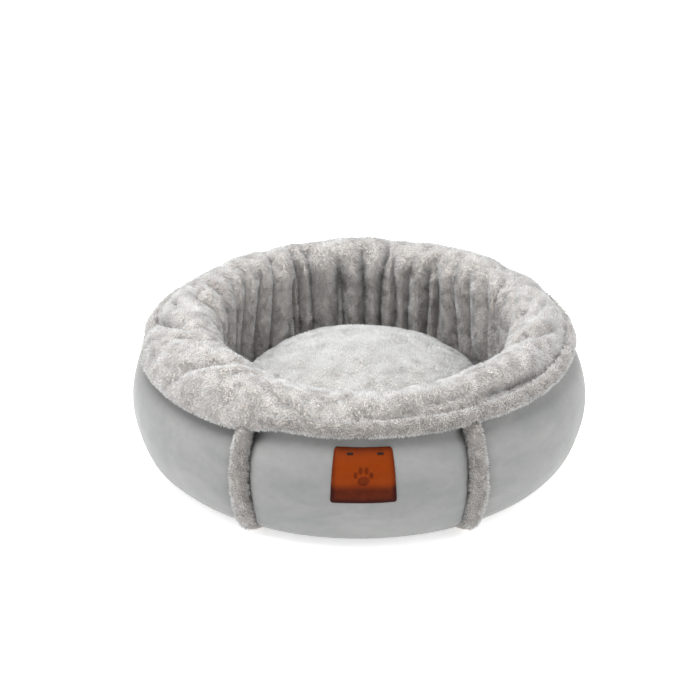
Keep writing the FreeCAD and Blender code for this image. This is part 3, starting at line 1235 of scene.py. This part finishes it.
@dataclass(frozen=True)
class Gather:
    """One gather of the lining: a crease that starts at the elastic and runs up towards the lip."""

    place: float
    lean: float
    reach: float
    depth: float
    width: float
    bend: float

    def away(self, turn: float, over: float, radius: float) -> float:
        """How far a place lies to the side of the crease, in metres."""
        up = 1.0 - min(1.0, over / 2)
        middle = self.place + self.lean * up + self.bend * math.sin(math.pi * up * 1.6)
        return turn_between(turn, middle) * radius

    def fold(self, turn: float, over: float, radius: float) -> float:
        """How deep the crease cuts in at a place: a sharp valley between rounded sides."""
        side = min(1.0, abs(self.away(turn, over, radius)) / self.width)
        shape = 0.6 * (1 - side) ** 2 + 0.4 * (1 - side) ** 5
        return self.depth * shape * ease(self.reach, self.reach + 0.45, over)


@dataclass(frozen=True)
class Sector:
    """How the gathers look between two angles (degrees about Z) of the nest wall."""

    start: float
    end: float
    count: int
    lean: float
    reach: tuple[float, float]
    depth: tuple[float, float]
    width: float

    def gathers(self, dice: random.Random) -> list[Gather]:
        """The sector's creases, unevenly spaced.

        Args:
            dice: where the unevenness comes from.
        Returns:
            The creases, in order.
        """
        step = (self.end - self.start) / self.count
        found = []
        for number in range(self.count):
            place = self.start + (number + 0.5 + dice.uniform(-0.3, 0.3)) * step
            found.append(Gather(
                place=math.radians(place),
                lean=math.radians(self.lean + dice.uniform(-2.5, 2.5)),
                reach=dice.uniform(*self.reach),
                depth=dice.uniform(*self.depth) * MM,
                width=self.width * dice.uniform(0.8, 1.25) * MM,
                bend=math.radians(dice.uniform(-1.6, 1.6)),
            ))
        return found


@dataclass(frozen=True)
class Dent:
    """A short fold or hollow pressed into the lip: angles in degrees, the rest in metres."""

    place: float
    over: float
    span: float
    width: float
    depth: float
    slant: float = 0.0

    def press(self, turn: float, over: float, radius: float, roll: float) -> float:
        """How deep it presses at a place, with a sharper lower side than a plain hollow."""
        along = turn_between(turn, math.radians(self.place)) * radius
        across = (over - self.over) * roll - self.slant * along
        side = abs(across) / self.width
        shape = 0.55 * math.exp(-side ** 2) + 0.45 * math.exp(-2.2 * side)
        return self.depth * shape * hump(along, self.span)


# start, end, count, lean, reach, depth and width of the gathers, round the nest wall
SECTORS = (
    Sector(56, 124, 11, 0.0, (0.25, 0.70), (13.0, 22.0), 16.0),
    Sector(124, 178, 7, -14.0, (0.20, 0.55), (10.0, 18.0), 21.0),
    Sector(178, 232, 6, -10.0, (0.45, 0.85), (9.0, 14.0), 22.0),
    Sector(232, 308, 10, 0.0, (0.70, 0.95), (9.0, 14.0), 18.0),
    Sector(308, 372, 7, 18.0, (0.45, 0.75), (9.0, 15.0), 22.0),
    Sector(12, 56, 5, 16.0, (0.32, 0.60), (10.0, 17.0), 24.0),
)
# place, how far over the lip, span, width, depth and slant of the folds in the lip
DENTS = (
    Dent(-175.5, 0.33, 36 * MM, 10 * MM, 15 * MM, 0.60),
    Dent(-157.5, 0.57, 24 * MM, 10 * MM, 15 * MM, 0.77),
    Dent(-141, 0.40, 24 * MM, 11 * MM, 11 * MM, 0.80),
    Dent(172, 0.36, 26 * MM, 9 * MM, 9 * MM, 0.62),
    Dent(-128, 0.55, 18 * MM, 8 * MM, 5 * MM, 0.80),
    Dent(164, 0.55, 26 * MM, 8 * MM, 8 * MM, 0.70),
    Dent(-22, 0.63, 36 * MM, 7 * MM, 9 * MM, -0.52),
    Dent(-13, 0.36, 26 * MM, 7 * MM, 12 * MM, -0.50),
    Dent(0, 0.68, 42 * MM, 7 * MM, 9 * MM, -0.49),
    Dent(5, 0.40, 34 * MM, 6 * MM, 7 * MM, -0.45),
    Dent(22, 0.55, 36 * MM, 7 * MM, 8 * MM, -0.50),
    Dent(36, 0.40, 26 * MM, 9 * MM, 5 * MM, -0.60),
    Dent(-44, 0.16, 34 * MM, 9 * MM, 9 * MM, -0.08),
    Dent(-66, 0.28, 26 * MM, 10 * MM, 6 * MM, 0.05),
    Dent(-96, 0.45, 14 * MM, 10 * MM, 5 * MM, 0.9),
    Dent(-112, 0.30, 18 * MM, 9 * MM, 5 * MM, -0.5),
    Dent(112, 0.25, 18 * MM, 7 * MM, 5 * MM, -0.7),
    Dent(70, 0.25, 20 * MM, 8 * MM, 6 * MM, 0.6),
)


@dataclass
class Lining:
    """One plush cloth that makes the thick lip and the inner wall, gathered at its foot."""

    sizes: BedSizes
    pile: Pile
    pitch: float = 3.0 * MM
    columns: int = 480
    pile_room: float = 0.5 * MM
    lip_settle: float = 0.5 * MM
    lump_depth: float = 3.2 * MM
    slouch_out: float = 12.0 * MM
    slouch_down: float = 9.0 * MM
    front_settle: float = 7.0 * MM
    left_puff: float = 12.0 * MM
    back_push: float = 6.0 * MM
    back_rise: float = 2.5 * MM
    tuck: float = 8.0 * MM
    inflation: Inflation = field(
        default_factory=lambda: Inflation(pressure=2.5, frames=14, cap=5.0 * MM, shrink=-0.06)
    )

    @property
    def roll(self) -> float:
        """The lip roll's radius under the pile."""
        return self.sizes.lip_tube - self.pile_room

    @property
    def middle(self) -> tuple[float, float]:
        """The middle (r, z) of the lip's roll, where its filling has settled to."""
        return self.sizes.lip_radius, self.sizes.lip_height - self.lip_settle

    def ends(self) -> tuple[float, float, tuple[float, float]]:
        """The lip's angle at the rim seam, its angle where the nest wall leaves it, and the wall's foot."""
        sizes = self.sizes
        foot = (sizes.nest_radius + 2 * MM, sizes.floor_height)
        across = self.middle[0] - foot[0]
        up = self.middle[1] - foot[1]
        lean = math.atan2(across, up) - math.asin(self.roll / math.hypot(across, up))
        return math.radians(8), math.pi - lean, foot

    def section(self) -> list[tuple[float, float]]:
        """The lining's line from the rim seam over the lip and down to the floor."""
        start, end, foot = self.ends()
        lip = arc_points(self.middle, self.roll, start, end, self.pitch)
        seam = (self.sizes.seam_radius - 3 * MM, self.sizes.seam_height - 5 * MM)
        return [seam] + lip + line_points(lip[-1], foot, self.pitch)

    def over(self, radius: float, height: float) -> float:
        """How far over a plain point lies: 0 at the rim seam, 1 at the nest wall's top, 2 at its foot.

        Args:
            radius: the point's distance from the bed's middle.
            height: its height above the floor.
        Returns:
            How far over it lies.
        """
        start, end, foot = self.ends()
        turn = math.atan2(height - self.middle[1], radius - self.middle[0])
        if turn < -math.pi / 2:
            turn += 2 * math.pi
        share = (turn - start) / (end - start)
        if share <= 1.0 + 1e-6:
            return max(0.0, share)
        top = self.middle[1] + self.roll * math.sin(end)
        return 1 + (top - height) / (top - foot[1])

    def shaped(self, co: Vector, normal: Vector, gathers: list[Gather]) -> Vector:
        """Where a point of the plain lining ends up on the gathered one.

        Args:
            co: the point on the plain lining.
            normal: the way the lining faces there.
            gathers: all the lining's creases.
        Returns:
            Its new place.
        """
        turn = math.atan2(co.y, co.x)
        radius = math.hypot(co.x, co.y)
        over = self.over(radius, co.z)
        out = Vector((math.cos(turn), math.sin(turn), 0))
        folds = sorted((gather.fold(turn, over, radius) for gather in gathers), reverse=True)
        arc = self.roll * 2.9
        dents = sum(dent.press(turn, over, radius, arc) for dent in DENTS)
        puff = ripple(co.x / (48 * MM), co.y / (48 * MM), co.z / (40 * MM), 11.0)
        small = ripple(co.x / (21 * MM), co.y / (21 * MM), co.z / (18 * MM), 12.0)
        tiny = ripple(co.x / (11 * MM), co.y / (11 * MM), co.z / (11 * MM), 13.0)
        lip = ease(0.0, 0.25, over) * (1 - 0.5 * ease(0.7, 1.3, over))
        calm = 1 - 0.6 * ease(-60 * MM, 60 * MM, co.y)
        depth = lip * self.lump_depth * (puff + calm * (0.7 * small + 0.4 * tiny))
        at_back = hump(turn_between(turn, math.radians(104)), math.radians(42))
        depth += self.back_rise * at_back * hump(over - 0.5, 0.4)
        depth -= (folds[0] + 0.35 * folds[1]) + dents
        right_front = hump(turn_between(turn, math.radians(-50)), math.radians(34))
        depth -= self.tuck * right_front * hump(over - 0.1, 0.2)
        inner_left = hump(turn_between(turn, math.radians(-160)), math.radians(40))
        depth += self.left_puff * inner_left * hump(over - 0.95, 0.4)
        depth *= 1 - 0.8 * ease(1.85, 2.0, over)
        sag = slouched(turn) * hump(over - 0.05, 0.2)
        front = self.front_settle * hump(turn_between(turn, FRONT), math.radians(38)) * hump(over - 0.6, 0.4)
        push = self.back_push * ease(0, self.middle[0], co.y)
        return (co + normal * depth + out * self.slouch_out * sag + Vector((push, 0, 0))
                - Vector((0, 0, self.slouch_down * sag + front)))

    def cloth(self) -> bpy.types.Object:
        """The ground cloth, gathered, dented and puffed by its filling."""
        bm = bmesh.new()
        spin_line(bm, self.section(), FRONT, 2 * math.pi, self.columns)
        heart = self.middle[1] - 60 * MM
        face_out(bm, lambda at: at - Vector((at.x, at.y, 0)).normalized() * self.middle[0]
                 - Vector((0, 0, heart)))
        bm.normal_update()
        dice = random.Random(11)
        gathers = [gather for sector in SECTORS for gather in sector.gathers(dice)]
        firm = []
        spare = []
        places = {}
        for vert in bm.verts:
            turn = math.atan2(vert.co.y, vert.co.x)
            radius = math.hypot(vert.co.x, vert.co.y)
            over = self.over(radius, vert.co.z)
            crease = max(gather.fold(turn, over, radius) for gather in gathers)
            firm.append(max(ease(0.12, 0.03, over), ease(1.8, 1.95, over), min(1.0, crease / (11 * MM))))
            spare.append(ease(0.15, 0.4, over) * ease(1.9, 1.7, over))
            places[vert] = self.shaped(vert.co, vert.normal, gathers)
        for vert, place in places.items():
            vert.co = place
        lining = mesh_object("gathered_lining", bm, GREY_BACKING)
        self.inflation.puff(lining, firm, spare)
        LOG.info("lining: %d gathers", len(gathers))
        return lining

    def build(self) -> None:
        """Make the lining and its pile."""
        lining = self.cloth()
        for seed, side in enumerate(Side):
            fuzz = self.pile.grow("lining_pile_" + side.label, lining, GREY_PILE, 40 + seed, side.faces)
            declare(fuzz, Body.NEST, Cloth.PLUSH_GREY)
        thicken(lining, 1.5 * MM)
        declare(lining, Body.NEST, Cloth.PLUSH_GREY, "plush_lining", "bolster_filling", "gather_elastic",
                fill=0.7)


# ------------------------------------------------------------------ loose cushion


@dataclass
class Cushion:
    """The loose round cushion: a plush top and a cloth underside, sewn together and stuffed."""

    sizes: BedSizes
    pile: Pile
    pitch: float = 5.0 * MM
    columns: int = 170
    start_inset: float = 4.0 * MM
    crown_lift: float = 4.0 * MM
    lie: Vector = field(default_factory=lambda: Vector((3 * MM, 3 * MM, 0)))
    inflation: Inflation = field(default_factory=lambda: Inflation(pressure=4.0, frames=20, cap=6.0 * MM))

    def section(self) -> list[tuple[float, float]]:
        """Half of the cushion's outline, from the middle of its top to the middle of its underside."""
        sizes = self.sizes
        edge = sizes.cushion_seam - sizes.cushion_base
        shoulder = (sizes.cushion_radius - edge, sizes.cushion_seam)
        rise = sizes.cushion_crown - sizes.cushion_seam
        crown = (shoulder[0] ** 2 + rise ** 2 - edge ** 2) / (2 * (rise - edge))
        crown_middle = (0.0, sizes.cushion_crown - crown)
        meet = math.atan2(shoulder[1] - crown_middle[1], shoulder[0])
        inset = self.start_inset
        top = arc_points(crown_middle, crown - inset, math.pi / 2, meet, self.pitch)
        upper = arc_points(shoulder, edge - inset, meet, 0.0, self.pitch)
        lower = arc_points(shoulder, edge - inset, 0.0, -math.pi / 2, self.pitch)
        sole = line_points(lower[-1], (0.0, lower[-1][1]), self.pitch)
        return top + upper[1:] + lower[1:] + sole

    def shaped(self, co: Vector) -> Vector:
        """Soft dents and swellings of the stuffing, and the puckers at the seam.

        Args:
            co: a point of the puffed cushion.
        Returns:
            Its new place.
        """
        sizes = self.sizes
        turn = math.atan2(co.y, co.x)
        dent = ripple(co.x / (60 * MM), co.y / (60 * MM), co.z / (60 * MM), 21.0)
        small = ripple(co.x / (26 * MM), co.y / (26 * MM), co.z / (26 * MM), 22.0)
        top = ease(sizes.cushion_seam, sizes.cushion_crown - 10 * MM, co.z)
        pucker = math.sin(44 * turn + 3 * dent) * hump(co.z - sizes.cushion_seam, 12 * MM)
        out = Vector((math.cos(turn), math.sin(turn), 0))
        seam_dip = hump(co.z - sizes.cushion_seam, 5 * MM)
        lift = top * (self.crown_lift + 4.0 * MM * dent + 1.2 * MM * small)
        return co + self.lie + Vector((0, 0, lift)) + out * (1.2 * MM * pucker - 3.0 * MM * seam_dip)

    def build(self) -> None:
        """Make both covers and the top's pile."""
        sizes = self.sizes
        bm = bmesh.new()
        spin_line(bm, self.section(), FRONT, 2 * math.pi, self.columns)
        whole = mesh_object("cushion_whole", bm)
        sole = sizes.cushion_base + self.start_inset + 1 * MM
        self.inflation.puff(whole, [1.0 if vert.co.z < sole else 0.0 for vert in whole.data.vertices])
        shaped = {}
        for side in ("top", "bottom"):
            bm = bmesh.new()
            bm.from_mesh(whole.data)
            above = side == "top"
            split = [f for f in bm.faces if (f.calc_center_median().z > sizes.cushion_seam) != above]
            bmesh.ops.delete(bm, geom=split, context="FACES")
            for vert in bm.verts:
                vert.co = self.shaped(vert.co)
                vert.co.z = max(vert.co.z, sizes.cushion_base + 0.5 * MM)
            finish = LIGHT_BACKING if above else LINING_CLOTH
            shaped[side] = mesh_object("cushion_cover_" + side, bm, finish)
            smooth(shaped[side])
        bpy.data.objects.remove(whole)
        fuzz = self.pile.grow("cushion_pile", shaped["top"], LIGHT_PILE, 60)
        declare(fuzz, Body.CUSHION, Cloth.PLUSH_LIGHT)
        for cover in shaped.values():
            thicken(cover, 1.2 * MM)
        declare(shaped["top"], Body.CUSHION, Cloth.PLUSH_LIGHT, "cushion_top_cover", "cushion_filling",
                fill=0.7)
        declare(shaped["bottom"], Body.CUSHION, Cloth.LINING, "cushion_bottom_cover", fill=0.7)


# ------------------------------------------------------------------ floor, base and hidden pieces


@dataclass
class FloorAndBase:
    """The nest's floor under the cushion, the base cover and what lies sealed inside."""

    sizes: BedSizes
    quilt_pitch: float = 38.0 * MM

    def floor(self) -> bpy.types.Object:
        """The floor cloth, quilted to the pad under it."""
        low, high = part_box("floor_fabric")
        radius = high[0]
        bm = bmesh.new()
        points = [(step * radius / 48, high[2] - 0.6 * MM) for step in range(49)]
        spin_line(bm, points, FRONT, 2 * math.pi, 120)
        for vert in bm.verts:
            across = math.cos(math.pi * vert.co.x / self.quilt_pitch)
            along = math.cos(math.pi * vert.co.y / self.quilt_pitch)
            edge = ease(radius, radius - 12 * MM, math.hypot(vert.co.x, vert.co.y))
            vert.co.z -= 1.2 * MM * (hump(across, 0.35) + hump(along, 0.35)) * edge
        face_out(bm, lambda at: Vector((0, 0, 1)))
        floor = mesh_object("nest_floor_cloth", bm, LINING_CLOTH)
        thicken(floor, 1.2 * MM)
        declare(floor, Body.NEST, Cloth.LINING, "floor_fabric", "base_pad", fill=0.3)
        return floor

    def base(self) -> bpy.types.Object:
        """The grip cloth that closes the underside."""
        low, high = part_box("base_cover")
        radius = high[0]
        bm = bmesh.new()
        points = [(step * radius / 30, 0.2 * MM) for step in range(31)]
        spin_line(bm, points, FRONT, 2 * math.pi, 160)
        face_out(bm, lambda at: Vector((0, 0, -1)))
        base = mesh_object("grip_base_cloth", bm, GRIP_CLOTH)
        thicken(base, 1.0 * MM)
        declare(base, Body.NEST, Cloth.BASE, "base_cover")
        return base

    def build(self) -> None:
        """Make the floor and the base."""
        self.floor()
        self.base()


# ------------------------------------------------------------------ studio


@dataclass
class Studio:
    """A pale floor, soft lights and the camera."""

    distance: float = 2.3
    elevation: float = math.radians(25.9)
    aim: Vector = field(default_factory=lambda: Vector((0.0, 0.0, 0.090)))
    lens: float = 106.4
    shift_x: float = -0.0129
    shift_y: float = 0.0302

    def camera(self) -> None:
        """Place the camera in front, looking down at the nest."""
        data = bpy.data.cameras.new("camera")
        data.lens = self.lens
        data.shift_x = self.shift_x
        data.shift_y = self.shift_y
        data.clip_end = 60.0
        eye = bpy.data.objects.new("camera", data)
        back = Vector((0, -math.cos(self.elevation), math.sin(self.elevation)))
        eye.location = self.aim + back * self.distance
        eye.rotation_mode = "QUATERNION"
        eye.rotation_quaternion = (-back).to_track_quat("-Z", "Y")
        bpy.context.scene.collection.objects.link(eye)
        bpy.context.scene.camera = eye

    def lamp(self, name: str, place: tuple[float, float, float], size: float, power: float) -> None:
        """Add one soft square light that looks at the bed.

        Args:
            name: the light's name.
            place: where it hangs.
            size: the length of its sides.
            power: its power in watts.
        """
        data = bpy.data.lights.new(name, "AREA")
        data.shape = "SQUARE"
        data.size = size
        data.energy = power
        lamp = bpy.data.objects.new(name, data)
        lamp.location = place
        lamp.rotation_mode = "QUATERNION"
        lamp.rotation_quaternion = (self.aim - Vector(place)).to_track_quat("-Z", "Y")
        bpy.context.scene.collection.objects.link(lamp)

    def build(self) -> None:
        """Set the camera, the floor, the lights and an even surrounding."""
        self.camera()
        bm = bmesh.new()
        bmesh.ops.create_grid(bm, x_segments=2, y_segments=2, size=15.0)
        floor = mesh_object("studio_floor", bm, StudioFloor("pale_matt_sweep"))
        self.lamp("top_light", (-0.40, -0.35, 1.9), 1.3, 36.0)
        self.lamp("left_light", (-1.9, -0.2, 1.0), 1.2, 11.0)
        self.lamp("right_light", (1.9, -0.2, 0.9), 1.2, 15.0)
        world = bpy.data.worlds.new("studio")
        world.use_nodes = True
        world.node_tree.nodes.clear()
        sky = add(world.node_tree, "ShaderNodeBackground", {"Color": (1.0, 1.0, 1.0, 1.0), "Strength": 0.60})
        add(world.node_tree, "ShaderNodeOutputWorld", {"Surface": sky.outputs[0]})
        bpy.context.scene.world = world
        bpy.context.scene.view_settings.view_transform = "Standard"


def main() -> None:
    """Build the bed piece by piece and report each one."""
    logging.basicConfig(level=logging.INFO, format="%(name)s: %(message)s")
    sizes = BedSizes.from_frame()
    LOG.info("sizes: %s", sizes)
    Studio().build()
    pile = Pile()
    Cushion(sizes, Pile(lean=0.4, clump=16 * MM, shade_patch=26 * MM)).build()
    panels = OuterWall(sizes).build()
    LeatherLabel(sizes, panels[Side.FRONT]).build()
    PlushRolls(sizes, Pile(length=3.8 * MM, clump=8 * MM, lean=0.9, droop=0.1)).build()
    Lining(sizes, pile).build()
    FloorAndBase(sizes).build()
    for tuft in [item for item in bpy.data.objects if item.name.startswith("tuft_master")]:
        bpy.data.objects.remove(tuft)


if __name__ == "__main__":
    main()
